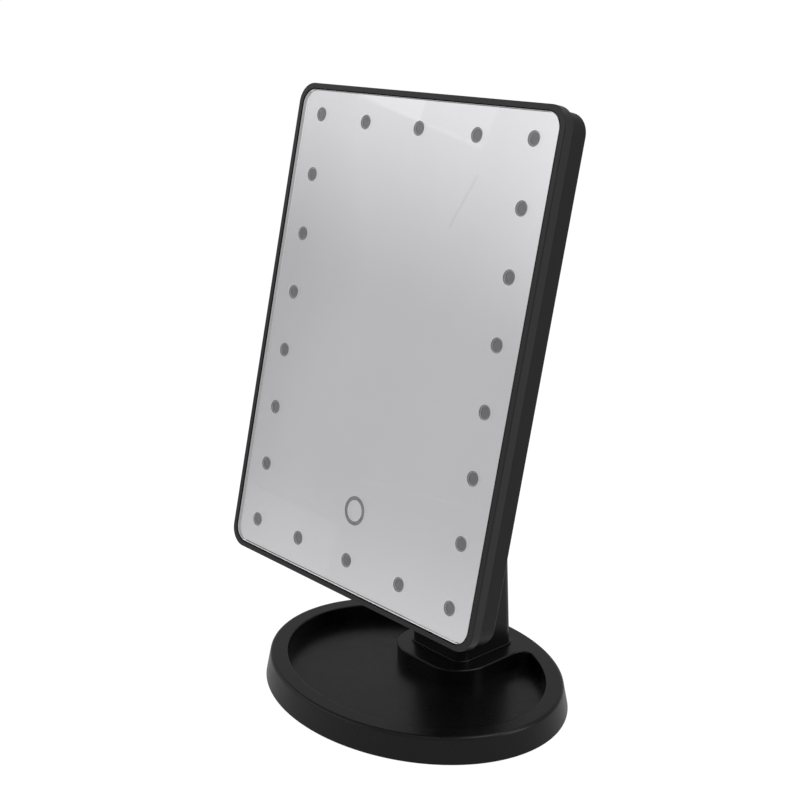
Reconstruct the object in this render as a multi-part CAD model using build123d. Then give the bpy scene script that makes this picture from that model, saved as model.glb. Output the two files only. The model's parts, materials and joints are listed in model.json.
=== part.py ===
from build123d import *
from math import cos, hypot, radians, sin
import os

# Lighted countertop mirror: a framed mirror head that tilts on a curved neck, and an oval
# base whose top is a shallow tray. Millimetres, +Z up, X across the mirror. The origin is on
# the table under the middle of the base, and the mirror faces -Y.
#
# The head is drawn in its own frame and then placed: X across, Y back from the glass's front
# face, Z up along the glass, origin at the middle of that face.

# ------------------------------------------------------------------ driving dimensions
REST_TILT = 12.9  # the glass leans back by this many degrees

# base
BASE_FOOT = (79.9, 63.8)  # half-axes of the oval at its lower edge
BASE_RIM = (77.8, 61.2)  # half-axes at the top of the rim
BASE_BOTTOM = 0.3  # the rubber feet hold the shell this far off the table
BASE_TOP = 12.0
TRAY = (69.3, 53.0)  # half-axes of the tray's wall
TRAY_FLOOR = 4.0
ISLAND_HALF = 26.4  # half-width of the island that runs forward from the rear rim
ISLAND_FRONT = 3.2
ISLAND_R = 18.0
ISLAND_ROOT_R = 5.0
WALL = 2.0
BASE_PLATE_T = 1.5
COLLAR_T = 1.1  # raised lip round the neck's foot
COLLAR_W = 0.9
COLLAR_EDGE_R = 0.4

# neck
NECK_HALF = 18.0
NECK_FRONT = 13.7
NECK_REAR = 49.4
NECK_CORNER_R = 5.0
NECK_BEND_Z = 58.0  # the neck is nearly upright to here, then curves forward
NECK_REAR_LEAN = 3.3  # degrees forward
NECK_FRONT_LEAN = -3.0  # degrees forward, so the front face leans back
NECK_WALL = 2.4
TENON_HALF = 15.0
TENON_BOTTOM = 6.6

# hinge
HINGE_DROP = 47.0  # below the middle of the glass
HINGE_DEPTH = 34.0  # behind the glass's front face
HINGE_Y = 2.4
HINGE_Z = 114.9
KNUCKLE_R = 9.0
KNUCKLE_HALF = 14.0
WASHER_T = 1.1
LUG_T = 6.0
LUG_R = 9.5
PIN_R = 2.5
RELIEF_R = 12.5  # the neck is cut back round the lugs
HINGE_BORE_R = 2.55
SLEEVE_R = 4.5

# head
FRAME_W = 165.4
FRAME_H = 221.5
FRAME_CORNER_R = 9.0
FRAME_EDGE_R = 0.5
FRAME_FRONT = -0.2
FRAME_BACK = 4.35
GLASS_W = 159.2
GLASS_H = 215.8
GLASS_CORNER_R = 7.0
GLASS_T = 2.0
GLASS_GAP = 0.5
GLASS_BEVEL = 0.2
SILVER_T = 0.2
SILVER_MARGIN = 0.05
TAPE_T = 0.4
CARRIER_T = 1.5  # the frame's web behind the glass
LIP_BACK = 6.0
HOUSING_INSET = 1.3
HOUSING_BACK = 14.4
HOUSING_EDGE_R = 1.0
HOUSING_WALL = 1.8

# lights and touch ring
LIGHT_X = (0.0, 34.9, 66.3)
LIGHT_PITCH = 27.47
LIGHT_LIFT = 0.8  # the grid of lights sits this far above the middle of the glass
TOP_ROW_DROP = 1.2  # the top row sags by this much between its two end lights
WINDOW_R = 3.25
LIGHT_HOLE_R = 2.6
RING_Z = -72.6
RING_R = (4.75, 6.5)

# battery bay
CELL_R = 7.1
CELL_L = 50.5
CELL_PITCH = 15.2
CELL_COUNT = 4
BAY_HALF = 31.5
BAY_BOTTOM = -24.5
BAY_TOP = 33.0
BAY_FLOOR = 6.6
BAY_WALL = 3.0
BAY_BACK = 24.0

# derived
POCKET_W = GLASS_W + 2 * GLASS_GAP
POCKET_H = GLASS_H + 2 * GLASS_GAP
POCKET_FLOOR = GLASS_T + SILVER_T + TAPE_T
CARRIER_BACK = POCKET_FLOOR + CARRIER_T
HOUSING_W = FRAME_W - 2 * HOUSING_INSET
HOUSING_H = FRAME_H - 2 * HOUSING_INSET
INNER_BACK = HOUSING_BACK - HOUSING_WALL
NECK_FOOT_Z = BASE_TOP + COLLAR_T
LUG_IN = KNUCKLE_HALF + WASHER_T + 0.1
LUG_OUT = LUG_IN + LUG_T
COUNTERBORE_IN = LUG_OUT - 3.6
FRAME_SCREWS = [(x, z) for x in (-52.0, 52.0) for z in (-84.0, 3.0, 84.0)]
BRACKET_SCREWS = [(x, z) for x in (-9.0, 9.0) for z in (-58.5, -35.5)]
NECK_SCREWS = ((-10.0, 34.0), (10.0, 34.0), (0.0, 84.0))
TENON_SCREWS = ((0.0, 23.5), (0.0, 39.0))
TENON_Y = (NECK_FRONT + 3.0, NECK_REAR - 3.0)
NECK_SPLIT_Y = 31.0
CELL_Y = BAY_FLOOR + CELL_R + 0.15
PLATE_TOP = BASE_BOTTOM + BASE_PLATE_T
FOOT_SPOTS = [(x, y) for x in (-50.0, 50.0) for y in (-32.0, 32.0)]


# ------------------------------------------------------------------ drawing helpers
def block(x, y, z):
    """Box from its three ranges."""
    middle = [(low + high) / 2 for low, high in (x, y, z)]
    return Pos(*middle) * Box(x[1] - x[0], y[1] - y[0], z[1] - z[0])


def rod_x(r, x, y, z):
    """Cylinder along X over the range x."""
    return Pos((x[0] + x[1]) / 2, y, z) * Rot(0, 90, 0) * Cylinder(r, x[1] - x[0])


def rod_y(r, x, y, z):
    """Cylinder along Y over the range y."""
    return Pos(x, (y[0] + y[1]) / 2, z) * Rot(90, 0, 0) * Cylinder(r, y[1] - y[0])


def rod_z(r, x, y, z):
    """Cylinder along Z over the range z."""
    return Pos(x, y, (z[0] + z[1]) / 2) * Cylinder(r, z[1] - z[0])


def sink_y(small, big, x, y, z):
    """Countersink along Y: radius small at y[0], big at y[1]."""
    return Pos(x, (y[0] + y[1]) / 2, z) * Rot(-90, 0, 0) * Cone(small, big, y[1] - y[0])


def panel(outline, y, x=0.0, z=0.0):
    """Plate across the head: an outline in X and Z, over the depth range y."""
    plane = Plane(origin=(x, y[0], z), x_dir=(1, 0, 0), z_dir=(0, -1, 0))
    return extrude(plane * outline, -(y[1] - y[0]))


def side_panel(face, half):
    """Plate from an outline in Y and Z, out to half on each side of X = 0."""
    return extrude(Plane.YZ * face, half, both=True)


def slab(outline, z):
    """Level plate from an outline in X and Y, over the height range z."""
    return extrude(Pos(0, 0, z[0]) * outline, z[1] - z[0])


def group(pieces):
    """Separate solids that share one node."""
    return Compound(children=list(pieces))


def place_head(shape):
    """From the head's own frame to the object's, at the rest tilt."""
    tilt = radians(REST_TILT)
    y = HINGE_Y + HINGE_DROP * sin(tilt) - HINGE_DEPTH * cos(tilt)
    z = HINGE_Z + HINGE_DROP * cos(tilt) + HINGE_DEPTH * sin(tilt)
    return Pos(0, y, z) * Rot(-REST_TILT, 0, 0) * shape


def light_spots():
    """The lights run round the glass: rows at top and bottom, and a column down each side."""
    spots = []
    for end in (-1, 1):
        for x in sorted({side * x for x in LIGHT_X for side in (-1, 1)}):
            drop = TOP_ROW_DROP if end > 0 and abs(x) < LIGHT_X[-1] else 0.0
            spots.append((x, LIGHT_LIFT + end * 3.5 * LIGHT_PITCH - drop))
    for side in (-1, 1):
        for step in range(6):
            spots.append((side * LIGHT_X[-1], LIGHT_LIFT + (step - 2.5) * LIGHT_PITCH))
    return spots


# ------------------------------------------------------------------ head: front
def front_frame():
    """Bezel with a pocket for the glass, a web behind it and a lip into the rear housing."""
    body = panel(RectangleRounded(FRAME_W, FRAME_H, FRAME_CORNER_R), (FRAME_FRONT, FRAME_BACK))
    body = fillet(body.faces().sort_by(Axis.Y)[0].edges(), FRAME_EDGE_R)
    pocket_r = GLASS_CORNER_R + GLASS_GAP
    body -= panel(RectangleRounded(POCKET_W, POCKET_H, pocket_r), (FRAME_FRONT, POCKET_FLOOR))
    lip_w = HOUSING_W - 2 * HOUSING_WALL - 0.4
    lip_h = HOUSING_H - 2 * HOUSING_WALL - 0.4
    body += panel(RectangleRounded(lip_w, lip_h, 7.0), (CARRIER_BACK, LIP_BACK))
    body -= panel(RectangleRounded(lip_w - 2.4, lip_h - 2.4, 5.8), (CARRIER_BACK, LIP_BACK))
    bosses = [rod_y(3.5, x, (CARRIER_BACK, INNER_BACK), z) for x, z in FRAME_SCREWS]
    bosses += [rod_y(1.8, x, (CARRIER_BACK, 6.4), z) for x in (-16, 16) for z in (-103, -86)]
    body += bosses
    holes = [rod_y(LIGHT_HOLE_R, x, (POCKET_FLOOR, CARRIER_BACK), z) for x, z in light_spots()]
    holes += [rod_y(1.25, x, (5.0, INNER_BACK), z) for x, z in FRAME_SCREWS]
    holes += [rod_y(7.2, 0, (POCKET_FLOOR, CARRIER_BACK), RING_Z)]
    return body - holes


def mirror_glass():
    """Clear glass, its front edge ground to a narrow bevel."""
    glass = panel(RectangleRounded(GLASS_W, GLASS_H, GLASS_CORNER_R), (0, GLASS_T))
    return chamfer(glass.faces().sort_by(Axis.Y)[0].edges(), GLASS_BEVEL)


def silver_backing():
    """Silvering and its backing film, open at each light and at the touch ring."""
    y = (GLASS_T, GLASS_T + SILVER_T)
    width = GLASS_W - 2 * SILVER_MARGIN
    height = GLASS_H - 2 * SILVER_MARGIN
    film = panel(RectangleRounded(width, height, GLASS_CORNER_R - SILVER_MARGIN), y)
    film -= [rod_y(WINDOW_R, x, y, z) for x, z in light_spots()]
    ring = rod_y(RING_R[1], 0, y, RING_Z) - rod_y(RING_R[0], 0, y, RING_Z)
    return film - ring


def glass_tape():
    """Adhesive foam strips that hold the glass on the frame's web."""
    y = (GLASS_T + SILVER_T, POCKET_FLOOR)
    strips = [block((x - 5, x + 5), y, (-85, 85)) for x in (-51, 51)]
    strips.append(block((-5, 5), y, (-50, 80)))
    return group(strips)


def led_board():
    """Circuit board shaped as a frame that carries the lights."""
    width = 2 * LIGHT_X[-1]
    height = 7 * LIGHT_PITCH
    y = (CARRIER_BACK, CARRIER_BACK + 1.0)
    ring = RectangleRounded(width + 9, height + 9, 3) - RectangleRounded(width - 9, height - 9, 2)
    return panel(ring, y, z=LIGHT_LIFT)


def leds():
    y = (POCKET_FLOOR + 0.2, CARRIER_BACK)
    return group(
        block((x - 1.6, x + 1.6), y, (z - 1.3, z + 1.3)) for x, z in light_spots()
    )


def touch_sensor():
    """Round sensing pad behind the ring."""
    return rod_y(6.8, 0, (POCKET_FLOOR + 0.1, POCKET_FLOOR + 1.1), RING_Z)


def control_board():
    return block((-20, 20), (6.4, 7.6), (-106.5, -82))


def board_components():
    """Controller, inductor, capacitors and wire header on the control board."""
    y0 = 7.6
    pieces = [
        block((-3.5, 2.5), (y0, y0 + 1.3), (-97, -92)),
        block((6, 11), (y0, y0 + 2.4), (-98, -93)),
        block((-17, -7), (y0, y0 + 2.8), (-91, -87)),
        rod_y(2.0, 14.5, (y0, y0 + 3.2), -89),
        rod_y(2.0, -13, (y0, y0 + 3.2), -98),
    ]
    pieces += [block((x, x + 1.6), (y0, y0 + 0.6), (-86, -85)) for x in (-3, 0, 3, 6)]
    return group(pieces)


def charge_socket():
    """Open metal shell of the charging inlet, with its contact tongue."""
    outer = block((-3.8, 3.8), (7.7, 10.6), (-109.0, -103.4))
    inner = block((-3.45, 3.45), (8.05, 10.25), (-109.0, -103.8))
    tongue = block((-2.3, 2.3), (8.8, 9.5), (-108.2, -103.6))
    return outer - inner + tongue


# ------------------------------------------------------------------ head: rear
def rear_housing():
    """Rear shell with the battery bay standing out of its back."""
    body = panel(RectangleRounded(HOUSING_W, HOUSING_H, 9.0), (FRAME_BACK, HOUSING_BACK))
    body = fillet(body.faces().sort_by(Axis.Y)[-1].edges(), HOUSING_EDGE_R)
    inner_w = HOUSING_W - 2 * HOUSING_WALL
    inner_h = HOUSING_H - 2 * HOUSING_WALL
    body -= panel(RectangleRounded(inner_w, inner_h, 7.2), (FRAME_BACK, INNER_BACK))
    outer_half = BAY_HALF + BAY_WALL
    hump_h = BAY_TOP - BAY_BOTTOM + 2 * BAY_WALL
    hump = panel(
        RectangleRounded(2 * outer_half, hump_h, 4.0),
        (BAY_FLOOR - 1.4, BAY_BACK),
        z=(BAY_TOP + BAY_BOTTOM) / 2,
    )
    hump = fillet(hump.faces().sort_by(Axis.Y)[-1].edges(), 1.2)
    body += hump
    body += [rod_y(3.2, x, (7.0, INNER_BACK), z) for x, z in BRACKET_SCREWS]
    bay_z = (BAY_BOTTOM, BAY_TOP)
    door_z = (BAY_BOTTOM, BAY_TOP + BAY_WALL + 4)
    body -= block((-BAY_HALF, BAY_HALF), (BAY_FLOOR, BAY_BACK + 1), bay_z)
    body -= block((-BAY_HALF, BAY_HALF), (21.5, BAY_BACK + 1), door_z)
    body -= block((-BAY_HALF - 1.5, BAY_HALF + 1.5), (21.5, 22.8), door_z)
    ribs = [k * CELL_PITCH for k in (-1, 0, 1)]
    body += [block((x - 0.4, x + 0.4), (BAY_FLOOR, 10.0), (-20, 28)) for x in ribs]
    cuts = []
    for x, z in FRAME_SCREWS:
        cuts.append(rod_y(1.6, x, (INNER_BACK, HOUSING_BACK), z))
        cuts.append(sink_y(1.6, 2.9, x, (HOUSING_BACK - 1.3, HOUSING_BACK), z))
    cuts += [rod_y(1.25, x, (8.0, HOUSING_BACK), z) for x, z in BRACKET_SCREWS]
    cuts.append(block((41.8, 50.2), (INNER_BACK, HOUSING_BACK), (-73.9, -70.1)))
    cuts.append(block((38.5, 53.5), (HOUSING_BACK - 0.6, HOUSING_BACK), (-76.5, -67.5)))
    cuts.append(block((-4.2, 4.2), (7.3, 11.0), (-110, -107)))
    return body - cuts


def battery_door():
    """Sliding cover with a tongue along each side and ribs for the thumb."""
    z = (BAY_BOTTOM + 0.2, BAY_TOP + BAY_WALL)
    door = block((-BAY_HALF + 0.2, BAY_HALF - 0.2), (21.7, BAY_BACK), z)
    door += block((-BAY_HALF - 1.3, BAY_HALF + 1.3), (21.7, 22.6), z)
    grip_y = (BAY_BACK - 0.5, BAY_BACK)
    return door - [block((-9, 9), grip_y, (k, k + 1.2)) for k in range(16, 31, 3)]


def cell_spots():
    """Middle line of each cell, and the end its positive cap faces."""
    first = -(CELL_COUNT - 1) / 2 * CELL_PITCH
    return [(first + k * CELL_PITCH, 1 if k % 2 else -1) for k in range(CELL_COUNT)]


def cell_span(up):
    """Lower and upper end of a cell, pressed against the contact at its positive end."""
    if up > 0:
        return (BAY_TOP - 0.45 - CELL_L, BAY_TOP - 0.45)
    return (BAY_BOTTOM + 0.45, BAY_BOTTOM + 0.45 + CELL_L)


def battery_cells():
    cells = []
    for x, up in cell_spots():
        low, high = cell_span(up)
        can = (low, high - 1.2) if up > 0 else (low + 1.2, high)
        cap = (high - 1.2, high) if up > 0 else (low, low + 1.2)
        can = fillet(rod_z(CELL_R, x, CELL_Y, can).edges().filter_by(GeomType.CIRCLE), 0.5)
        cells.append(can + rod_z(2.7, x, CELL_Y, cap))
    return group(cells)


def contact_plates():
    """Bright strips on both end walls, each joining two cells or ending the chain."""
    pairs = {-1: ((-1.5, -0.5), (0.5, 1.5)), 1: ((-1.5, -1.5), (-0.5, 0.5), (1.5, 1.5))}
    plates = []
    for end, spans in pairs.items():
        z = (BAY_TOP - 0.4, BAY_TOP) if end > 0 else (BAY_BOTTOM, BAY_BOTTOM + 0.4)
        for first, last in spans:
            x = (first * CELL_PITCH - 5.5, last * CELL_PITCH + 5.5)
            plates.append(block(x, (CELL_Y - 5.5, CELL_Y + 5.5), z))
    return group(plates)


def contact_springs():
    """Coil springs that press on the negative ends."""
    wire_r = 0.4
    coil_r = 3.6
    springs = []
    for x, up in cell_spots():
        low, high = cell_span(up)
        z = (BAY_BOTTOM + 0.4, low) if up > 0 else (high, BAY_TOP - 0.4)
        height = z[1] - z[0] - 2 * wire_r - 0.1
        line = Pos(x, CELL_Y, z[0] + wire_r + 0.05) * Helix(height / 3, height, coil_r)
        springs.append(sweep(Plane(origin=line @ 0, z_dir=line % 0) * Circle(wire_r), path=line))
    return group(springs)


def battery_leads():
    """Two wires from the battery bay to the control board."""
    return group(rod_z(0.6, x, 8.3, (-84, BAY_BOTTOM - BAY_WALL - 0.1)) for x in (-17, 17))


def switch_body():
    body = block((40, 52), (6.5, INNER_BACK - 0.1), (-76, -68))
    return body - block((41.3, 50.7), (8.0, INNER_BACK), (-75, -69))


def switch_knob():
    """Slide knob, at the off end of its slot."""
    shoulder = INNER_BACK - 0.5
    top = HOUSING_BACK + 0.9
    foot = block((42.0, 45.8), (8.2, shoulder), (-74.7, -69.3))
    stem = block((42.0, 45.8), (shoulder, top), (-73.7, -70.3))
    ridges = [block((x, x + 0.5), (top - 0.4, top), (-73.7, -70.3)) for x in (42.7, 43.65, 44.6)]
    return foot + stem - ridges


def countersunk_screw(x, z, y):
    """Screw along Y with its flat head flush at y[1]."""
    head = sink_y(1.2, 2.75, x, (y[1] - 1.25, y[1]), z)
    shank = rod_y(1.2, x, y, z)
    slot = [
        block((x - 1.5, x + 1.5), (y[1] - 0.6, y[1]), (z - 0.3, z + 0.3)),
        block((x - 0.3, x + 0.3), (y[1] - 0.6, y[1]), (z - 1.5, z + 1.5)),
    ]
    return head + shank - slot


def housing_screws():
    return group(countersunk_screw(x, z, (5.3, HOUSING_BACK)) for x, z in FRAME_SCREWS)


# ------------------------------------------------------------------ hinge
def hinge_bracket():
    """Foot plate on the housing's back with two lugs that hold the pin."""
    plate_back = HOUSING_BACK + 3.0
    foot = panel(RectangleRounded(2 * LUG_OUT + 5, 35, 4), (HOUSING_BACK, plate_back), z=-47.0)
    foot = fillet(foot.faces().sort_by(Axis.Y)[-1].edges(), 0.8)
    flank = make_face(
        Polyline(
            (plate_back - 0.5, -HINGE_DROP - 14.5),
            (plate_back - 0.5, -HINGE_DROP + 14.5),
            (HINGE_DEPTH, -HINGE_DROP + LUG_R),
            (HINGE_DEPTH, -HINGE_DROP - LUG_R),
            close=True,
        )
    )
    ear = flank + Pos(HINGE_DEPTH, -HINGE_DROP) * Circle(LUG_R)
    both = side_panel(ear, LUG_OUT) - side_panel(ear, LUG_IN)
    body = foot + both
    cuts = [rod_x(HINGE_BORE_R, (-LUG_OUT, LUG_OUT), HINGE_DEPTH, -HINGE_DROP)]
    for side in (-1, 1):
        x = sorted((side * COUNTERBORE_IN, side * LUG_OUT))
        cuts.append(rod_x(5.2, x, HINGE_DEPTH, -HINGE_DROP))
    for x, z in BRACKET_SCREWS:
        cuts.append(rod_y(1.6, x, (HOUSING_BACK, plate_back), z))
        cuts.append(sink_y(1.6, 2.9, x, (plate_back - 1.3, plate_back), z))
    return body - cuts


def bracket_screws():
    y = (8.3, HOUSING_BACK + 3.0)
    return group(countersunk_screw(x, z, y) for x, z in BRACKET_SCREWS)


def hinge_pin():
    """Steel pin through the lugs and the knuckle, headed at one end."""
    shank = rod_x(PIN_R, (-COUNTERBORE_IN, LUG_OUT - 0.6), HINGE_DEPTH, -HINGE_DROP)
    head = rod_x(4.2, (-COUNTERBORE_IN - 2.0, -COUNTERBORE_IN), HINGE_DEPTH, -HINGE_DROP)
    return shank + head


def ring_x(r_out, r_in, x):
    outer = rod_x(r_out, x, HINGE_DEPTH, -HINGE_DROP)
    return outer - rod_x(r_in, x, HINGE_DEPTH, -HINGE_DROP)


def friction_washers():
    """Fibre washers between the knuckle and the lugs: they hold the head where it is put."""
    near = KNUCKLE_HALF + 0.05
    return group(
        ring_x(7.2, HINGE_BORE_R, sorted((side * near, side * (LUG_IN - 0.02)))) for side in (-1, 1)
    )


def spring_washer():
    return ring_x(4.3, HINGE_BORE_R, (COUNTERBORE_IN, COUNTERBORE_IN + 0.6))


def hinge_nut():
    x0 = COUNTERBORE_IN + 0.6
    hexagon = extrude(Plane.YZ * RegularPolygon(4.6, 6), 2.2)
    nut = Pos(x0, HINGE_DEPTH, -HINGE_DROP) * hexagon
    return nut - rod_x(HINGE_BORE_R, (x0, x0 + 2.2), HINGE_DEPTH, -HINGE_DROP)


def hinge_caps():
    """Domed caps over the pin's head and nut, held by a ring in each counterbore."""
    caps = []
    for side in (-1, 1):
        disc = rod_x(6.6, sorted((side * LUG_OUT, side * (LUG_OUT + 1.3))), HINGE_DEPTH, -HINGE_DROP)
        rim = disc.faces().sort_by(Axis.X)[-1 if side > 0 else 0].edges()
        plug = ring_x(5.15, 4.75, sorted((side * (LUG_OUT - 1.6), side * LUG_OUT)))
        caps.append(fillet(rim, 0.9) + plug)
    return group(caps)


# ------------------------------------------------------------------ neck
def tangent_to_knuckle(bend, lean, outside):
    """Where an arc that leaves the bend at this lean meets the knuckle's circle tangentially.
    The rear arc goes round the knuckle, and the front arc meets it from outside."""
    dy = bend[0] - HINGE_Y
    dz = bend[1] - HINGE_Z
    normal = (-cos(radians(lean)), -sin(radians(lean)))
    along = dy * normal[0] + dz * normal[1]
    reach = dy * dy + dz * dz - KNUCKLE_R**2
    radius = reach / (2 * (KNUCKLE_R - along)) if outside else -reach / (2 * (along + KNUCKLE_R))
    centre = (bend[0] + radius * normal[0], bend[1] + radius * normal[1])
    off = (centre[0] - HINGE_Y, centre[1] - HINGE_Z)
    scale = KNUCKLE_R / hypot(*off) * (1 if outside else -1)
    return (HINGE_Y + scale * off[0], HINGE_Z + scale * off[1])


def neck_outline():
    """Side view of the neck in Y and Z: upright, then curving forward into the knuckle."""
    rise = NECK_BEND_Z - NECK_FOOT_Z
    slopes = {}
    for name, foot, lean in (
        ("front", NECK_FRONT, NECK_FRONT_LEAN),
        ("rear", NECK_REAR, NECK_REAR_LEAN),
    ):
        step = (-sin(radians(lean)), cos(radians(lean)))
        bend = (foot + rise * step[0] / step[1], NECK_BEND_Z)
        slopes[name] = (bend, step, tangent_to_knuckle(bend, lean, name == "front"))
    front_bend, front_step, front_end = slopes["front"]
    rear_bend, rear_step, rear_end = slopes["rear"]
    nose = (HINGE_Y - KNUCKLE_R * cos(radians(35)), HINGE_Z + KNUCKLE_R * sin(radians(35)))
    edges = [
        Line((NECK_FRONT, NECK_FOOT_Z), front_bend),
        TangentArc(front_bend, front_end, tangent=front_step),
        ThreePointArc(front_end, nose, rear_end),
        TangentArc(rear_bend, rear_end, tangent=rear_step),
        Line(rear_bend, (NECK_REAR, NECK_FOOT_Z)),
        Line((NECK_REAR, NECK_FOOT_Z), (NECK_FRONT, NECK_FOOT_Z)),
    ]
    return make_face(edges)


def rear_zone():
    """Everything behind the joint between the neck's two shells."""
    joint = [
        Line((NECK_SPLIT_Y, 0), (NECK_SPLIT_Y, NECK_BEND_Z)),
        ThreePointArc((NECK_SPLIT_Y, NECK_BEND_Z), (28.4, 82), (19.5, 102)),
        Polyline((19.5, 102), (40, 124), (80, 124), (80, 0), (NECK_SPLIT_Y, 0)),
    ]
    return side_panel(make_face(joint), 40)


def neck():
    """Both shells of the neck as one hollow body, with its tenon and screw bosses."""
    outline = neck_outline()
    outer = side_panel(outline, NECK_HALF)
    low = NECK_FOOT_Z + 0.01
    sides = outer.faces().sort_by(Axis.X)
    rims = [e for face in (sides[0], sides[-1]) for e in face.edges() if e.center().Z > low]
    outer = fillet(rims, NECK_CORNER_R)
    hinge = [rod_x(RELIEF_R, x, HINGE_Y, HINGE_Z) for x in ((-30, -KNUCKLE_HALF), (KNUCKLE_HALF, 30))]
    outer -= hinge
    hollow = side_panel(offset(outline, -NECK_WALL), NECK_HALF - NECK_WALL)
    hollow -= rod_x(RELIEF_R + NECK_WALL, (-30, 30), HINGE_Y, HINGE_Z)
    mid_y = sum(TENON_Y) / 2
    depth = TENON_Y[1] - TENON_Y[0]
    tenon = RectangleRounded(2 * TENON_HALF, depth, 3)
    core = RectangleRounded(2 * TENON_HALF - 4, depth - 4, 1.5)
    body = outer - hollow
    body += Pos(0, mid_y) * slab(tenon, (TENON_BOTTOM, NECK_FOOT_Z + NECK_WALL))
    body -= Pos(0, mid_y) * slab(core, (TENON_BOTTOM + 2.4, NECK_FOOT_Z + NECK_WALL + 0.5))
    posts = [rod_y(3.5, x, (NECK_FRONT - 5, NECK_REAR + 5), z) for x, z in NECK_SCREWS]
    body += [outer & post for post in posts]
    body += [rod_z(3.0, x, y, (TENON_BOTTOM, NECK_FOOT_Z + 3)) for x, y in TENON_SCREWS]
    cuts = []
    for x, z in NECK_SCREWS:
        cuts.append(rod_y(1.25, x, (15, NECK_SPLIT_Y), z))
        cuts.append(rod_y(1.6, x, (neck_joint_y(z), 37), z))
        cuts.append(rod_y(2.5, x, (36, 60), z))
    cuts += [rod_z(1.25, x, y, (TENON_BOTTOM, NECK_FOOT_Z + 1)) for x, y in TENON_SCREWS]
    cuts.append(rod_x(SLEEVE_R + 0.02, (-30, 30), HINGE_Y, HINGE_Z))
    return body - cuts


def neck_front_shell():
    return neck() - rear_zone()


def neck_rear_shell():
    return neck() & rear_zone()


def neck_joint_y(z):
    """Depth of the joint between the shells at a screw."""
    return NECK_SPLIT_Y if z < NECK_BEND_Z else 28.0


def knuckle_sleeve():
    """Bush in the knuckle, with a running fit on the pin."""
    x = (-KNUCKLE_HALF, KNUCKLE_HALF)
    outer = rod_x(SLEEVE_R, x, HINGE_Y, HINGE_Z)
    return outer - rod_x(HINGE_BORE_R, x, HINGE_Y, HINGE_Z)


def neck_screws():
    """Pan-head screws that pull the rear shell on to the front one."""
    screws = []
    for x, z in NECK_SCREWS:
        head = fillet(rod_y(2.3, x, (36, 37.6), z).faces().sort_by(Axis.Y)[-1].edges(), 0.5)
        screws.append(head + rod_y(1.2, x, (17, 36), z))
    return group(screws)


# ------------------------------------------------------------------ base
def tray_outline(grow=0.0):
    """The tray: an oval with the island's tongue taken out of its rear side. It can be drawn
    larger all round, for the hollow under the shell."""
    tongue_depth = 70.0
    middle = Pos(0, ISLAND_FRONT + grow + tongue_depth / 2)
    tongue = middle * Rectangle(2 * (ISLAND_HALF - grow), tongue_depth)
    tongue = fillet(tongue.vertices().group_by(Axis.Y)[0], ISLAND_R - grow)
    outline = oval(TRAY, grow) - tongue
    return fillet(outline.vertices().group_by(Axis.Y)[-1], ISLAND_ROOT_R + grow)


def oval(half_axes, grow=0.0):
    return Ellipse(half_axes[0] + grow, half_axes[1] + grow)


def plate_screw_spots():
    """Screws of the bottom plate, along the middle of the rim."""
    angles = [radians(a) for a in (35, 145, 215, 325)]
    return [(73.4 * cos(a), 57.0 * sin(a)) for a in angles]


def base_tray():
    """Oval shell, open below: rim, tray, and the island with the socket for the neck."""
    body = loft([Pos(0, 0, BASE_BOTTOM) * oval(BASE_FOOT), Pos(0, 0, BASE_TOP) * oval(BASE_RIM)])
    body = fillet(body.faces().sort_by(Axis.Z)[-1].edges(), 1.6)
    tray = tray_outline()
    body -= slab(tray, (TRAY_FLOOR, BASE_TOP + 1))
    brim = [e for e in body.faces().sort_by(Axis.Z)[-1].inner_wires()[0].edges()]
    body = fillet(brim, 0.7)
    mid_y = (NECK_FRONT + NECK_REAR) / 2
    depth = NECK_REAR - NECK_FRONT
    collar = RectangleRounded(
        2 * (NECK_HALF + COLLAR_W), depth + 2 * COLLAR_W, NECK_CORNER_R + COLLAR_W
    )
    lip = slab(collar, (BASE_TOP - 1, NECK_FOOT_Z))
    lip = fillet(lip.faces().sort_by(Axis.Z)[-1].edges(), COLLAR_EDGE_R)
    body += Pos(0, mid_y) * lip
    below = oval(BASE_RIM, -WALL) - tray_outline(WALL - 0.2)
    body -= slab(below, (PLATE_TOP, BASE_TOP - WALL))
    body -= slab(oval(BASE_RIM, -0.6), (BASE_BOTTOM, PLATE_TOP))
    block_half = TENON_HALF + 0.2
    tenon_depth = TENON_Y[1] - TENON_Y[0]
    socket_wall = RectangleRounded(2 * block_half + 4, tenon_depth + 4.4, 4)
    body += Pos(0, mid_y) * slab(socket_wall, (4.4, BASE_TOP - WALL))
    socket = RectangleRounded(2 * block_half, tenon_depth + 0.4, 3.2)
    body -= Pos(0, mid_y) * slab(socket, (TENON_BOTTOM - 0.1, NECK_FOOT_Z + 1))
    body += [rod_z(2.6, x, y, (PLATE_TOP, BASE_TOP - 1)) for x, y in plate_screw_spots()]
    cuts = [rod_z(1.25, x, y, (PLATE_TOP, BASE_TOP - 2.5)) for x, y in plate_screw_spots()]
    cuts += [rod_z(1.6, x, y, (4.0, TENON_BOTTOM)) for x, y in TENON_SCREWS]
    return body - cuts


def tenon_screws():
    """Screws from below that hold the neck in the base."""
    screws = []
    for x, y in TENON_SCREWS:
        screws.append(rod_z(2.6, x, y, (2.8, 4.4)) + rod_z(1.2, x, y, (4.4, 13.0)))
    return group(screws)


def base_plate():
    """Bottom cover, with a shallow seat for each foot."""
    plate = slab(oval(BASE_RIM, -0.8), (BASE_BOTTOM, PLATE_TOP))
    cuts = [rod_z(5.1, x, y, (BASE_BOTTOM, BASE_BOTTOM + 0.7)) for x, y in FOOT_SPOTS]
    for x, y in plate_screw_spots():
        cuts.append(rod_z(1.4, x, y, (BASE_BOTTOM, PLATE_TOP)))
        cuts.append(Pos(x, y, BASE_BOTTOM + 0.6) * Cone(2.65, 1.4, 1.2))
    return plate - cuts


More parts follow.
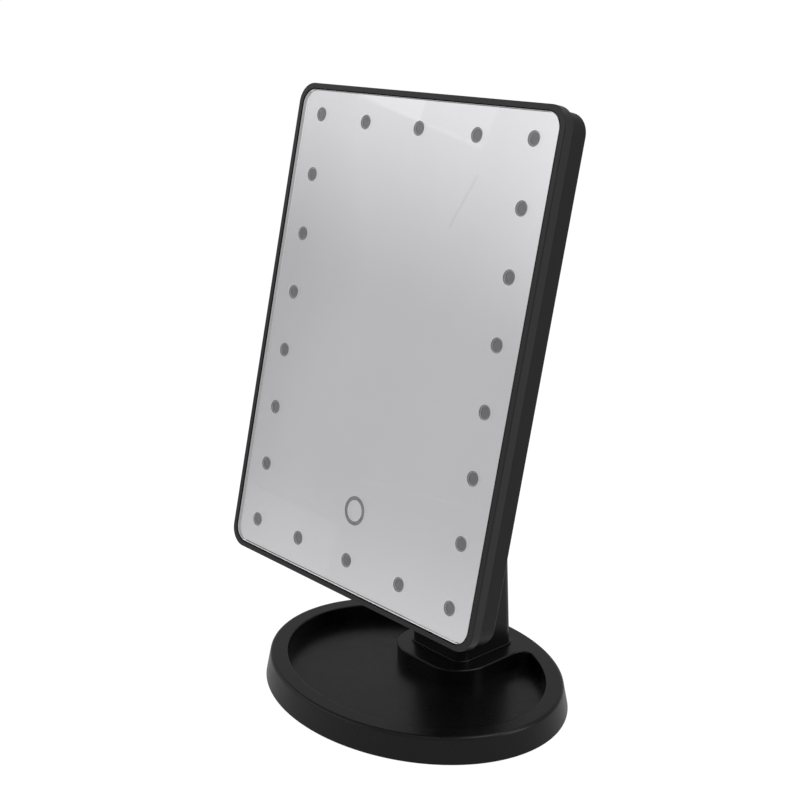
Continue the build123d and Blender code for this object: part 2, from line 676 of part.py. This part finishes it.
def base_screws():
    screws = []
    for x, y in plate_screw_spots():
        head = Pos(x, y, BASE_BOTTOM + 0.6) * Cone(2.5, 1.2, 1.2)
        screws.append(head + rod_z(1.2, x, y, (BASE_BOTTOM + 1.2, 8.5)))
    return group(screws)


def rubber_feet():
    feet = []
    for x, y in FOOT_SPOTS:
        foot = rod_z(5.0, x, y, (0, BASE_BOTTOM + 0.7))
        feet.append(fillet(foot.faces().sort_by(Axis.Z)[0].edges(), 0.4))
    return group(feet)


# ------------------------------------------------------------------ parts
HEAD_PARTS = {
    "front_frame": front_frame,
    "mirror_glass": mirror_glass,
    "silver_backing": silver_backing,
    "glass_tape": glass_tape,
    "led_board": led_board,
    "leds": leds,
    "touch_sensor": touch_sensor,
    "control_board": control_board,
    "board_components": board_components,
    "charge_socket": charge_socket,
    "rear_housing": rear_housing,
    "battery_door": battery_door,
    "battery_cells": battery_cells,
    "contact_plates": contact_plates,
    "contact_springs": contact_springs,
    "battery_leads": battery_leads,
    "switch_body": switch_body,
    "switch_knob": switch_knob,
    "housing_screws": housing_screws,
    "hinge_bracket": hinge_bracket,
    "bracket_screws": bracket_screws,
    "hinge_pin": hinge_pin,
    "friction_washers": friction_washers,
    "spring_washer": spring_washer,
    "hinge_nut": hinge_nut,
    "hinge_caps": hinge_caps,
}
STAND_PARTS = {
    "neck_front_shell": neck_front_shell,
    "neck_rear_shell": neck_rear_shell,
    "knuckle_sleeve": knuckle_sleeve,
    "neck_screws": neck_screws,
    "base_tray": base_tray,
    "tenon_screws": tenon_screws,
    "base_plate": base_plate,
    "base_screws": base_screws,
    "rubber_feet": rubber_feet,
}

os.makedirs("parts", exist_ok=True)
for name, make in HEAD_PARTS.items():
    export_step(place_head(make()), f"parts/{name}.step")
for name, make in STAND_PARTS.items():
    export_step(make(), f"parts/{name}.step")
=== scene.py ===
import json
from math import cos, pi, radians, sin

import bmesh
import bpy
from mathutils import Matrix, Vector


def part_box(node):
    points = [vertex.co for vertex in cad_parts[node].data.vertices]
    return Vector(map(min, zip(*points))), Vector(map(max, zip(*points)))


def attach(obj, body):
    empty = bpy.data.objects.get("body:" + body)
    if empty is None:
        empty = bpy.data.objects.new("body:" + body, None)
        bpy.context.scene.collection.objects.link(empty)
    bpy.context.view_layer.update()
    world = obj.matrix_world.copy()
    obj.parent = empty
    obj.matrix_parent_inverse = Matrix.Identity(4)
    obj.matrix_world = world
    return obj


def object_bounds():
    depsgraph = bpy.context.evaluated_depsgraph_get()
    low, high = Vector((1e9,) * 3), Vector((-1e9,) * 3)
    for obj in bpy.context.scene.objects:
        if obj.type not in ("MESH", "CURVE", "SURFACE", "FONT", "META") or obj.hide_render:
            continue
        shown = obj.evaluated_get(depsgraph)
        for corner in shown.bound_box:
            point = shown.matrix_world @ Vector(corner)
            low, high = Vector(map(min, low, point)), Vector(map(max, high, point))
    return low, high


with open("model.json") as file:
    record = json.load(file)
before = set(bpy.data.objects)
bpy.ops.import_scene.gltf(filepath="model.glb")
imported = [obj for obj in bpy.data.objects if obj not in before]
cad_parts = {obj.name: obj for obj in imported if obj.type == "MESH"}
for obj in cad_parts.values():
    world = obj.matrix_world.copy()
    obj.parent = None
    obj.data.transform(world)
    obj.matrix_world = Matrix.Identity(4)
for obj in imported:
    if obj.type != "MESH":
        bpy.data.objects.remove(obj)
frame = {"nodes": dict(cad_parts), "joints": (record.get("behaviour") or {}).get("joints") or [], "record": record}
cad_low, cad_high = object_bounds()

# Lighted countertop mirror: finishes for every part of the frame, the small printed and
# frosted pieces behind the glass, and a plain white studio. Metres, +Z up, the mirror faces -Y.

MM = 0.001
NODES = frame["nodes"]

# ------------------------------------------------------------------ the head's own directions
JOINTS = {joint["name"]: joint for joint in frame["joints"]}
ALONG = Vector(JOINTS["battery_door_slide"]["axis"]).normalized()  # up along the glass
ACROSS = Vector((1, 0, 0))
BACK = ALONG.cross(ACROSS).normalized() * -1  # away from the viewer of the mirror
if BACK.y < 0:
    BACK.negate()
GLASS_T = 2.0 * MM
GLASS_HALF_W = 79.6 * MM
GLASS_MIDDLE = sum(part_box("mirror_glass"), Vector()) / 2 - BACK * GLASS_T / 2  # on its front face

# lights and touch ring, as in the frame
LIGHT_X = (0.0, 34.9 * MM, 66.3 * MM)
LIGHT_PITCH = 27.47 * MM
LIGHT_LIFT = 0.8 * MM
TOP_ROW_DROP = 1.2 * MM
RING_UP = -72.6 * MM


def head_point(x, depth, up):
    """A point from the glass's front face: across, behind it, and up along it."""
    return GLASS_MIDDLE + ACROSS * x + BACK * depth + ALONG * up


def light_spots():
    spots = []
    for end in (-1, 1):
        for x in sorted({side * x for x in LIGHT_X for side in (-1, 1)}):
            drop = TOP_ROW_DROP if end > 0 and abs(x) < LIGHT_X[-1] else 0.0
            spots.append((x, LIGHT_LIFT + end * 3.5 * LIGHT_PITCH - drop))
    for side in (-1, 1):
        for step in range(6):
            spots.append((side * LIGHT_X[-1], LIGHT_LIFT + (step - 2.5) * LIGHT_PITCH))
    return spots


# ------------------------------------------------------------------ node helpers
def new_finish(name, **sockets):
    """A Principled material with these values set on the shader's own sockets."""
    made = bpy.data.materials.new(name)
    made.use_nodes = True
    shader = made.node_tree.nodes["Principled BSDF"]
    for socket, value in sockets.items():
        shader.inputs[socket.replace("_", " ")].default_value = value
    return made, made.node_tree, shader


def object_coords(tree, stretch=(1, 1, 1)):
    coords = tree.nodes.new("ShaderNodeTexCoord")
    mapping = tree.nodes.new("ShaderNodeMapping")
    mapping.inputs["Scale"].default_value = stretch
    tree.links.new(coords.outputs["Object"], mapping.inputs["Vector"])
    return mapping.outputs["Vector"]


def noise(tree, scale, detail=3.0, stretch=(1, 1, 1), roughness=0.55):
    texture = tree.nodes.new("ShaderNodeTexNoise")
    texture.inputs["Scale"].default_value = scale
    texture.inputs["Detail"].default_value = detail
    texture.inputs["Roughness"].default_value = roughness
    tree.links.new(object_coords(tree, stretch), texture.inputs["Vector"])
    return texture.outputs["Fac"]


def cells(tree, scale, stretch=(1, 1, 1)):
    texture = tree.nodes.new("ShaderNodeTexVoronoi")
    texture.inputs["Scale"].default_value = scale
    tree.links.new(object_coords(tree, stretch), texture.inputs["Vector"])
    return texture.outputs["Distance"]


def spread(tree, source, low, high, start=0.3, end=0.7):
    """The source's range from start to end, stretched to run from low to high."""
    ranged = tree.nodes.new("ShaderNodeMapRange")
    ranged.inputs["From Min"].default_value = start
    ranged.inputs["From Max"].default_value = end
    ranged.inputs["To Min"].default_value = low
    ranged.inputs["To Max"].default_value = high
    tree.links.new(source, ranged.inputs["Value"])
    return ranged.outputs["Result"]


def two_tone(tree, source, first, second, start=0.3, end=0.7):
    ramp = tree.nodes.new("ShaderNodeValToRGB")
    ramp.color_ramp.elements[0].position = start
    ramp.color_ramp.elements[1].position = end
    ramp.color_ramp.elements[0].color = (*first, 1)
    ramp.color_ramp.elements[1].color = (*second, 1)
    tree.links.new(source, ramp.inputs["Fac"])
    return ramp.outputs["Color"]


def add_bump(tree, shader, heights, distance):
    """Stacks height sources on the shader's normal, each with its own strength."""
    normal = None
    for height, strength in heights:
        node = tree.nodes.new("ShaderNodeBump")
        node.inputs["Strength"].default_value = strength
        node.inputs["Distance"].default_value = distance
        tree.links.new(height, node.inputs["Height"])
        if normal is not None:
            tree.links.new(normal, node.inputs["Normal"])
        normal = node.outputs["Normal"]
    tree.links.new(normal, shader.inputs["Normal"])


def darker(colour, share):
    return tuple(channel * share for channel in colour)


# ------------------------------------------------------------------ finishes
def moulded(name, colour, gloss=(0.34, 0.44), specular=0.3, grain=0.10, mottle=0.82):
    """Injection-moulded plastic: fine spark-eroded grain, faint flow marks and handling haze."""
    made, tree, shader = new_finish(name, Specular_IOR_Level=specular)
    flow = noise(tree, 26, detail=4, stretch=(1, 1, 0.35))
    haze = noise(tree, 140, detail=5)
    grain_fine = noise(tree, 5200, detail=2)
    grain_soft = noise(tree, 1500, detail=2)
    tree.links.new(two_tone(tree, flow, darker(colour, mottle), colour), shader.inputs["Base Color"])
    tree.links.new(spread(tree, haze, *gloss), shader.inputs["Roughness"])
    add_bump(tree, shader, [(grain_soft, grain * 0.5), (grain_fine, grain)], 0.05 * MM)
    return made


def metal(name, colour, gloss=(0.18, 0.34), lay=(1, 1, 1), scratch=0.08):
    """Turned or plated metal, with fine marks that run along the lay."""
    made, tree, shader = new_finish(name, Metallic=1.0)
    marks = noise(tree, 2600, detail=3, stretch=lay)
    stain = noise(tree, 120, detail=4)
    tree.links.new(two_tone(tree, stain, darker(colour, 0.84), colour), shader.inputs["Base Color"])
    tree.links.new(spread(tree, marks, *gloss), shader.inputs["Roughness"])
    add_bump(tree, shader, [(marks, scratch)], 0.03 * MM)
    return made


def clear_glass():
    """Float glass with the least trace of wiping on its face."""
    made, tree, shader = new_finish(
        "clear_glass", Transmission_Weight=1.0, IOR=1.52, Specular_IOR_Level=0.5
    )
    smear = noise(tree, 18, detail=4, stretch=(1, 1, 0.3))
    tree.links.new(
        two_tone(tree, smear, (0.965, 0.975, 0.972), (0.98, 0.985, 0.983)),
        shader.inputs["Base Color"],
    )
    tree.links.new(spread(tree, smear, 0.0, 0.004), shader.inputs["Roughness"])
    return made


def silvering():
    """Mirror silvering, a trace uneven, as seen through the glass."""
    made, tree, shader = new_finish("silvering", Metallic=1.0)
    cloud = noise(tree, 14, detail=3)
    tree.links.new(
        two_tone(tree, cloud, (0.90, 0.90, 0.91), (0.915, 0.915, 0.922)),
        shader.inputs["Base Color"],
    )
    tree.links.new(spread(tree, cloud, 0.0, 0.003), shader.inputs["Roughness"])
    return made


def frosted(name, colour, speckle=0.9):
    """Etched or printed translucent film: fine speckle, no gloss."""
    made, tree, shader = new_finish(name, Specular_IOR_Level=0.25)
    dots = noise(tree, 3800, detail=2)
    tree.links.new(two_tone(tree, dots, darker(colour, speckle), colour), shader.inputs["Base Color"])
    tree.links.new(spread(tree, dots, 0.55, 0.75), shader.inputs["Roughness"])
    add_bump(tree, shader, [(dots, 0.1)], 0.03 * MM)
    return made


def foam():
    made, tree, shader = new_finish("foam_tape", Specular_IOR_Level=0.2)
    pores = cells(tree, 2600)
    tree.links.new(
        two_tone(tree, pores, (0.48, 0.48, 0.46), (0.76, 0.76, 0.74), 0.1, 0.6),
        shader.inputs["Base Color"],
    )
    tree.links.new(spread(tree, pores, 0.95, 0.75, 0.0, 0.8), shader.inputs["Roughness"])
    add_bump(tree, shader, [(pores, 0.5)], 0.1 * MM)
    return made


def circuit_board(name, colour, track):
    """Solder mask over copper tracks: the tracks show as paler, raised lines."""
    made, tree, shader = new_finish(name, Specular_IOR_Level=0.5)
    wave = tree.nodes.new("ShaderNodeTexWave")
    wave.wave_type = "BANDS"
    wave.inputs["Scale"].default_value = 120
    wave.inputs["Distortion"].default_value = 6.0
    wave.inputs["Detail"].default_value = 1.0
    tree.links.new(object_coords(tree), wave.inputs["Vector"])
    tracks = wave.outputs["Fac"]
    tree.links.new(two_tone(tree, tracks, colour, track, 0.70, 0.74), shader.inputs["Base Color"])
    tree.links.new(spread(tree, noise(tree, 500), 0.22, 0.36), shader.inputs["Roughness"])
    add_bump(tree, shader, [(tracks, 0.25)], 0.04 * MM)
    return made


def phosphor():
    """LED package: pale body with a yellow phosphor well."""
    made, tree, shader = new_finish("led_package", Specular_IOR_Level=0.5)
    mottle = noise(tree, 1800, detail=3)
    tree.links.new(
        two_tone(tree, mottle, (0.80, 0.66, 0.20), (0.88, 0.82, 0.55)), shader.inputs["Base Color"]
    )
    tree.links.new(spread(tree, mottle, 0.3, 0.5), shader.inputs["Roughness"])
    add_bump(tree, shader, [(mottle, 0.15)], 0.03 * MM)
    return made


def cell_jacket():
    """Printed shrink sleeve: a grey band above a dark one, with faint stretch lines."""
    made, tree, shader = new_finish("cell_jacket", Specular_IOR_Level=0.5, Metallic=0.3)
    lines = noise(tree, 900, detail=2, stretch=(1, 1, 0.05))
    bands = tree.nodes.new("ShaderNodeSeparateXYZ")
    tree.links.new(object_coords(tree), bands.inputs["Vector"])
    tree.links.new(
        two_tone(tree, bands.outputs["Z"], (0.06, 0.07, 0.09), (0.42, 0.44, 0.46), 0.172, 0.174),
        shader.inputs["Base Color"],
    )
    tree.links.new(spread(tree, lines, 0.2, 0.34), shader.inputs["Roughness"])
    add_bump(tree, shader, [(lines, 0.1)], 0.04 * MM)
    return made


def rubber(name, colour):
    made, tree, shader = new_finish(name, Specular_IOR_Level=0.2)
    dust = noise(tree, 300, detail=5)
    skin = noise(tree, 3000, detail=3)
    tree.links.new(two_tone(tree, dust, colour, darker(colour, 1.9)), shader.inputs["Base Color"])
    tree.links.new(spread(tree, dust, 0.7, 0.9), shader.inputs["Roughness"])
    add_bump(tree, shader, [(skin, 0.3)], 0.06 * MM)
    return made


def fibre():
    """Pressed fibre washers: brown, with short flecks."""
    made, tree, shader = new_finish("fibre", Specular_IOR_Level=0.2)
    flecks = noise(tree, 1600, detail=4, stretch=(0.2, 1, 1))
    tree.links.new(
        two_tone(tree, flecks, (0.16, 0.09, 0.05), (0.34, 0.22, 0.13)), shader.inputs["Base Color"]
    )
    tree.links.new(spread(tree, flecks, 0.7, 0.9), shader.inputs["Roughness"])
    add_bump(tree, shader, [(flecks, 0.3)], 0.05 * MM)
    return made


BLACK = (0.0052, 0.0052, 0.0056)
FINISHES = {
    # the frame's black is a lighter copy of the housing's black: painted light, for the light that falls on the
    # bezel from above
    "frame_plastic": moulded("frame_plastic", darker(BLACK, 1.2), gloss=(0.30, 0.38), specular=0.5),
    "clear_glass": clear_glass(),
    "silvering": silvering(),
    "foam_tape": foam(),
    "board_white": circuit_board("board_white", (0.70, 0.72, 0.68), (0.80, 0.82, 0.79)),
    "led_package": phosphor(),
    "sensor_copper": metal("sensor_copper", (0.72, 0.42, 0.26), gloss=(0.25, 0.45)),
    "board_green": circuit_board("board_green", (0.02, 0.13, 0.05), (0.06, 0.26, 0.12)),
    "component_black": moulded("component_black", (0.03, 0.03, 0.03), gloss=(0.5, 0.65)),
    "socket_steel": metal("socket_steel", (0.62, 0.62, 0.62)),
    "housing_plastic": moulded("housing_plastic", BLACK, gloss=(0.36, 0.48), grain=0.14),
    "cell_jacket": cell_jacket(),
    "nickel": metal("nickel", (0.70, 0.67, 0.62), gloss=(0.12, 0.25)),
    "wire_jacket": moulded("wire_jacket", (0.42, 0.02, 0.02), gloss=(0.35, 0.5), mottle=0.7),
    "switch_plastic": moulded("switch_plastic", (0.012, 0.012, 0.013), gloss=(0.42, 0.56)),
    "black_steel": metal("black_steel", (0.05, 0.05, 0.052), gloss=(0.35, 0.5)),
    "zinc_steel": metal("zinc_steel", (0.58, 0.59, 0.58)),
    "hinge_plastic": moulded("hinge_plastic", BLACK, gloss=(0.34, 0.46)),
    "pin_steel": metal("pin_steel", (0.56, 0.56, 0.58), gloss=(0.15, 0.3), lay=(0.1, 1, 1)),
    "fibre": fibre(),
    "bush_nylon": moulded("bush_nylon", (0.62, 0.60, 0.55), gloss=(0.35, 0.5), mottle=0.92),
    "neck_plastic": moulded("neck_plastic", darker(BLACK, 0.8), gloss=(0.30, 0.40), grain=0.06),
    "base_plastic": moulded("base_plastic", darker(BLACK, 0.5), (0.26, 0.33), specular=0.33, grain=0.02),
    "plate_plastic": moulded("plate_plastic", (0.012, 0.012, 0.013), gloss=(0.55, 0.7), grain=0.25),
    "foot_rubber": rubber("foot_rubber", (0.018, 0.018, 0.018)),
}
FINISHES["frosted_ring"] = frosted("frosted_ring", (0.86, 0.86, 0.87))
FINISHES["frosted_lens"] = frosted("frosted_lens", (0.42, 0.42, 0.425), speckle=0.86)
FINISHES["touch_print"] = frosted("touch_print", (0.62, 0.62, 0.62))
# pale pads beside the lights: a painted glint, for the windows' light seen in the glass's edge
FINISHES["painted_edge_glint"] = frosted("painted_edge_glint", (0.80, 0.80, 0.81))

for part in frame["record"]["subparts"]:
    mesh = NODES[part["node"]].data
    mesh.materials.clear()
    mesh.materials.append(FINISHES[part["material_slot"]])


def shade_flat(node):
    """Takes the softened normals off a part whose faces are all flat panes."""
    mesh = NODES[node].data
    if "custom_normal" in mesh.attributes:
        mesh.attributes.remove(mesh.attributes["custom_normal"])
    for polygon in mesh.polygons:
        polygon.use_smooth = False


def draw_in(node, depth):
    """Shrinks a part's surface by a hair, so that it doesn't share a face with its neighbour."""
    shrink = NODES[node].modifiers.new("draw_in", "DISPLACE")
    shrink.direction = "NORMAL"
    shrink.mid_level = 0.0
    shrink.strength = -depth


for pane in ("mirror_glass", "silver_backing"):
    shade_flat(pane)
draw_in("silver_backing", 0.02 * MM)


# ------------------------------------------------------------------ pieces behind the glass
def turned(bm, profile, x, up, segments=48):
    """A closed ring or disc round the head's depth axis. The profile is radius and depth."""
    rings = []
    for radius, depth in profile:
        if radius == 0:
            rings.append([bm.verts.new(head_point(x, depth, up))])
            continue
        ring = []
        for k in range(segments):
            a = 2 * pi * k / segments
            ring.append(bm.verts.new(head_point(x + radius * cos(a), depth, up + radius * sin(a))))
        rings.append(ring)
    closed = profile[0][0] > 0
    last = len(rings) if closed else len(rings) - 1
    for i in range(last):
        first, second = rings[i], rings[(i + 1) % len(rings)]
        for k in range(segments):
            n = (k + 1) % segments
            corners = [first[k % len(first)], first[n % len(first)]]
            corners += [second[n % len(second)], second[k % len(second)]]
            bm.faces.new(list(dict.fromkeys(corners)))


def pad(bm, x, depth, up):
    """A small block over three ranges, with eased edges."""
    made = bmesh.ops.create_cube(bm, size=1)["verts"]
    for v in made:
        span = [low + (c + 0.5) * (high - low) for c, (low, high) in zip(v.co, (x, depth, up))]
        v.co = head_point(*span)
    edges = list({e for v in made for e in v.link_edges})
    bmesh.ops.bevel(bm, geom=edges, offset=0.12 * MM, segments=2, profile=0.6, affect="EDGES")


def finish_piece(name, bm, finish, body):
    bmesh.ops.recalc_face_normals(bm, faces=bm.faces)
    mesh = bpy.data.meshes.new(name)
    bm.to_mesh(mesh)
    bm.free()
    mesh.materials.append(FINISHES[finish])
    piece = bpy.data.objects.new(name, mesh)
    bpy.context.scene.collection.objects.link(piece)
    for polygon in mesh.polygons:
        polygon.use_smooth = True
    mesh.set_sharp_from_angle(angle=radians(35))
    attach(piece, body)
    return piece


def light_rings():
    """Frosted rings that show round each light through the windows in the silvering."""
    bm = bmesh.new()
    inner, outer, near, far = 2.54 * MM, 4.3 * MM, 2.42 * MM, 2.58 * MM
    chamfer = 0.08 * MM
    for x, up in light_spots():
        section = [
            (inner, far), (inner, near + chamfer), (inner + chamfer, near), (outer, near), (outer, far),
        ]
        turned(bm, section, x, up)
    return finish_piece("light_rings", bm, "frosted_ring", "head")


def light_lenses():
    """Shallow domed diffusers, one in front of each light."""
    bm = bmesh.new()
    for x, up in light_spots():
        dome = [(0, 2.60), (1.4, 2.61), (2.1, 2.63), (2.5, 2.68), (2.5, 2.78), (0, 2.78)]
        turned(bm, [(r * MM, d * MM) for r, d in dome], x, up)
    return finish_piece("light_lenses", bm, "frosted_lens", "head")


def touch_ring():
    """Printed ring that shows through the ring-shaped slot in the silvering."""
    bm = bmesh.new()
    section = [(4.3, 2.5), (4.3, 2.26), (4.4, 2.24), (6.9, 2.24), (7.0, 2.26), (7.0, 2.5)]
    turned(bm, [(r * MM, d * MM) for r, d in section], 0.0, RING_UP, segments=96)
    return finish_piece("touch_ring", bm, "touch_print", "head")


def painted_edge_glints():
    """Pale pads in the gap between the glass and the bezel, one beside each light: a painted glint that stands in
    for each window's light seen in the glass's edge.
    """
    bm = bmesh.new()
    near, far = GLASS_HALF_W + 0.08 * MM, GLASS_HALF_W + 0.55 * MM
    for side in (-1, 1):
        for step in range(6):
            up = LIGHT_LIFT + (step - 2.5) * LIGHT_PITCH
            x = sorted((side * near, side * far))
            # each pad is a painted glint, not a real spacer
            pad(bm, x, (0.5 * MM, 1.9 * MM), (up - 2.0 * MM, up + 2.0 * MM))
    return finish_piece("painted_edge_glints", bm, "painted_edge_glint", "head")


light_rings()
light_lenses()
touch_ring()
painted_edge_glints()


# ------------------------------------------------------------------ studio
def glow(name, strength, diffuse=0.0):
    """Even emission with an optional matt share, faintly mottled."""
    made, tree, shader = new_finish(name, Specular_IOR_Level=0.0, Roughness=1.0)
    cloud = noise(tree, 3.0, detail=2)
    tree.links.new(
        two_tone(tree, cloud, (diffuse * 0.99,) * 3, (diffuse,) * 3), shader.inputs["Base Color"]
    )
    shader.inputs["Emission Color"].default_value = (1, 1, 1, 1)
    shader.inputs["Emission Strength"].default_value = strength
    return made


def stage_mesh(name, bm, material, seen_by_camera):
    """A studio surface: either only the camera sees it, or only reflections and light do."""
    mesh = bpy.data.meshes.new(name)
    bm.to_mesh(mesh)
    bm.free()
    mesh.materials.append(material)
    made = bpy.data.objects.new(name, mesh)
    bpy.context.scene.collection.objects.link(made)
    made.visible_camera = seen_by_camera
    made.visible_diffuse = not seen_by_camera
    made.visible_glossy = not seen_by_camera
    made.visible_transmission = not seen_by_camera
    made.visible_shadow = False
    return made


def backdrop():
    """White sweep that the camera sees: a level floor that curves up into a dome."""
    bm = bmesh.new()
    floor_r, rise_r = 5.0, 7.0
    profile = [(0.0, 0.0), (0.5, 0.0), (2.0, 0.0), (floor_r, 0.0)]
    for k in range(1, 13):
        a = pi / 2 * k / 12
        profile.append((floor_r + rise_r * sin(a), rise_r * (1 - cos(a))))
    for k in range(1, 13):
        a = pi / 2 * k / 12
        profile.append(((floor_r + rise_r) * cos(a), rise_r + floor_r * sin(a)))
    rows = []
    for r, z in profile:
        turn = 1 if r < 1e-6 else 64
        rows.append([bm.verts.new((r * cos(2 * pi * k / 64), r * sin(2 * pi * k / 64), z)) for k in range(turn)])
    for first, second in zip(rows, rows[1:]):
        for k in range(64):
            n = (k + 1) % 64
            corners = [first[k % len(first)], first[n % len(first)]]
            corners += [second[n % len(second)], second[k % len(second)]]
            bm.faces.new(list(dict.fromkeys(corners)))
    return stage_mesh("backdrop", bm, glow("backdrop_white", 0.93, 0.2), True)


def quad(bm, corners):
    bm.faces.new([bm.verts.new(c) for c in corners])


def studio_floor():
    bm = bmesh.new()
    reach = 4.0
    quad(bm, [(x * reach, y * reach, -0.5 * MM) for x, y in ((-1, -1), (1, -1), (1, 1), (-1, 1))])
    made = stage_mesh("studio_floor", bm, glow("studio_grey", 0.36, 0.3), False)
    made.visible_transmission = False  # the wall alone fills the mirror
    return made


# the wall that the mirror shows the camera, in front and to the left
WALL_MIDDLE = Vector((-0.950, -0.9037, 0.2273))
WALL_FACING = Vector((0.7308, 0.6811, -0.0457)).normalized()
WALL_RIGHT = Vector((0, 0, 1)).cross(WALL_FACING).normalized()
WALL_UP = WALL_FACING.cross(WALL_RIGHT)


def wall_point(u, v, proud=0.0):
    return WALL_MIDDLE + WALL_RIGHT * u + WALL_UP * v + WALL_FACING * proud


def wall_reach(tree, direction):
    """Distance from the wall's middle along one of its own directions."""
    place = tree.nodes.new("ShaderNodeTexCoord").outputs["Object"]
    from_middle = tree.nodes.new("ShaderNodeVectorMath")
    from_middle.operation = "SUBTRACT"
    from_middle.inputs[1].default_value = WALL_MIDDLE
    tree.links.new(place, from_middle.inputs[0])
    reach = tree.nodes.new("ShaderNodeVectorMath")
    reach.operation = "DOT_PRODUCT"
    reach.inputs[1].default_value = direction
    tree.links.new(from_middle.outputs["Vector"], reach.inputs[0])
    return reach.outputs["Value"]


def soft_step(tree, source, start, end, low, high):
    step = tree.nodes.new("ShaderNodeMapRange")
    step.interpolation_type = "SMOOTHSTEP"
    for name, value in zip(("From Min", "From Max", "To Min", "To Max"), (start, end, low, high)):
        step.inputs[name].default_value = value
    tree.links.new(source, step.inputs["Value"])
    return step.outputs["Result"]


def combine(tree, operation, first, second):
    node = tree.nodes.new("ShaderNodeMath")
    node.operation = operation
    tree.links.new(first, node.inputs[0])
    tree.links.new(second, node.inputs[1])
    return node.outputs["Value"]


def reflected_wall():
    """Glowing studio wall seen in the mirror, its glow painted with light and shade: lighter towards its top and
    foot, darker at the left.
    """
    bm = bmesh.new()
    quad(bm, [wall_point(u, v) for u, v in ((-0.9, -0.9), (0.9, -0.9), (0.9, 1.0), (-0.9, 1.0))])
    made, tree, shader = new_finish("wall_painted_light", Specular_IOR_Level=0.0, Roughness=1.0)
    shader.inputs["Base Color"].default_value = (0, 0, 0, 1)
    shader.inputs["Emission Color"].default_value = WALL_TINT
    # painted light and shade on the wall's glow: brighter top, foot and right, darker left band
    across = wall_reach(tree, WALL_RIGHT)
    height = wall_reach(tree, WALL_UP)
    upper = soft_step(tree, height, 0.04, 0.44, 0.555, 0.92)
    foot = soft_step(tree, height, -0.16, -0.44, 0.0, 0.16)
    left_shade = soft_step(tree, across, 0.04, 0.17, 1.0, 0.89)
    lifted = soft_step(tree, height, 0.08, 0.30, 0.0, 0.08)
    right_glow = soft_step(tree, across, -0.04, -0.26, 0.0, 1.0)
    right_lift = combine(tree, "MULTIPLY", right_glow, soft_step(tree, height, 0.02, 0.20, 0.0, 0.10))
    total = combine(tree, "ADD", combine(tree, "ADD", upper, foot), right_lift)
    shade = combine(tree, "ADD", left_shade, lifted)
    shade.node.use_clamp = True
    tree.links.new(combine(tree, "MULTIPLY", total, shade), shader.inputs["Emission Strength"])
    return stage_mesh("reflected_wall", bm, made, False)


def wall_patch(name, corners, gain, passing=1.0):
    """A faint sheet just off the wall: it adds light to what is behind it, or dims it."""
    bm = bmesh.new()
    quad(bm, [wall_point(u, v, 0.004) for u, v in corners])
    made = bpy.data.materials.new(name)
    made.use_nodes = True
    tree = made.node_tree
    tree.nodes.clear()
    clear = tree.nodes.new("ShaderNodeBsdfTransparent")
    clear.inputs["Color"].default_value = (passing, passing, passing, 1)
    light_sheet = tree.nodes.new("ShaderNodeEmission")
    light_sheet.inputs["Color"].default_value = WALL_TINT
    light_sheet.inputs["Strength"].default_value = gain
    both = tree.nodes.new("ShaderNodeAddShader")
    tree.links.new(clear.outputs[0], both.inputs[0])
    tree.links.new(light_sheet.outputs[0], both.inputs[1])
    out = tree.nodes.new("ShaderNodeOutputMaterial")
    tree.links.new(both.outputs[0], out.inputs["Surface"])
    return stage_mesh(name, bm, made, False)


def wall_streaks():
    """Sheets of light that cross the wall, as other white boards in the studio throw them."""
    wall_patch("board_left", [(0.141, 0.315), (0.052, 0.306), (0.052, 0.42), (0.141, 0.42)], 0.09)
    wall_patch("board_right", [(0.052, 0.306), (-0.040, 0.303), (-0.046, 0.42), (0.052, 0.42)], 0.03)
    wall_patch("board_edge", [(0.141, 0.311), (-0.040, 0.298), (-0.040, 0.304), (0.141, 0.316)], 0.045)
    wall_patch("seam", [(-0.030, 0.185), (-0.034, 0.185), (-0.048, 0.265), (-0.044, 0.265)], 0.0, 0.96)
    wall_patch("table_edge", [(-0.028, -0.180), (-0.201, -0.164), (-0.201, -0.160), (-0.028, -0.175)], 0.015)
    wall_patch("panel", [(-0.024, -0.245), (0.20, -0.22), (0.20, -0.46), (-0.034, -0.46)], 0.02)


WALL_TINT = (1.0, 0.978, 1.0, 1)


def light(name, place, aim, size, energy):
    data = bpy.data.lights.new(name, "AREA")
    data.shape = "RECTANGLE"
    data.size, data.size_y = size
    data.energy = energy
    made = bpy.data.objects.new(name, data)
    bpy.context.scene.collection.objects.link(made)
    made.location = place
    made.rotation_euler = (Vector(aim) - Vector(place)).to_track_quat("-Z", "Y").to_euler()
    return made


def studio():
    world = bpy.data.worlds.new("studio")
    bpy.context.scene.world = world
    world.use_nodes = True
    background = world.node_tree.nodes["Background"]
    background.inputs["Color"].default_value = (1.0, 1.0, 1.0, 1)
    background.inputs["Strength"].default_value = 0.42
    middle = (cad_low + cad_high) / 2
    light("overhead_softbox", (0.35, 0.15, 1.5), middle, (0.9, 0.9), 5.0)
    light("right_softbox", (1.3, 0.5, 0.7), middle, (0.5, 0.9), 4.0)


def camera():
    data = bpy.data.cameras.new("camera")
    data.sensor_width = 36.0
    data.lens = 63.33
    made = bpy.data.objects.new("camera", data)
    bpy.context.scene.collection.objects.link(made)
    made.location = (0.4471, -0.4060, 0.3241)
    pitch_down, turn = 16.843, 48.368
    made.rotation_euler = (radians(90 - pitch_down), 0, radians(turn))
    bpy.context.scene.camera = made


backdrop()
studio_floor()
reflected_wall()
wall_streaks()
studio()
camera()
bpy.context.scene.view_settings.view_transform = "Standard"
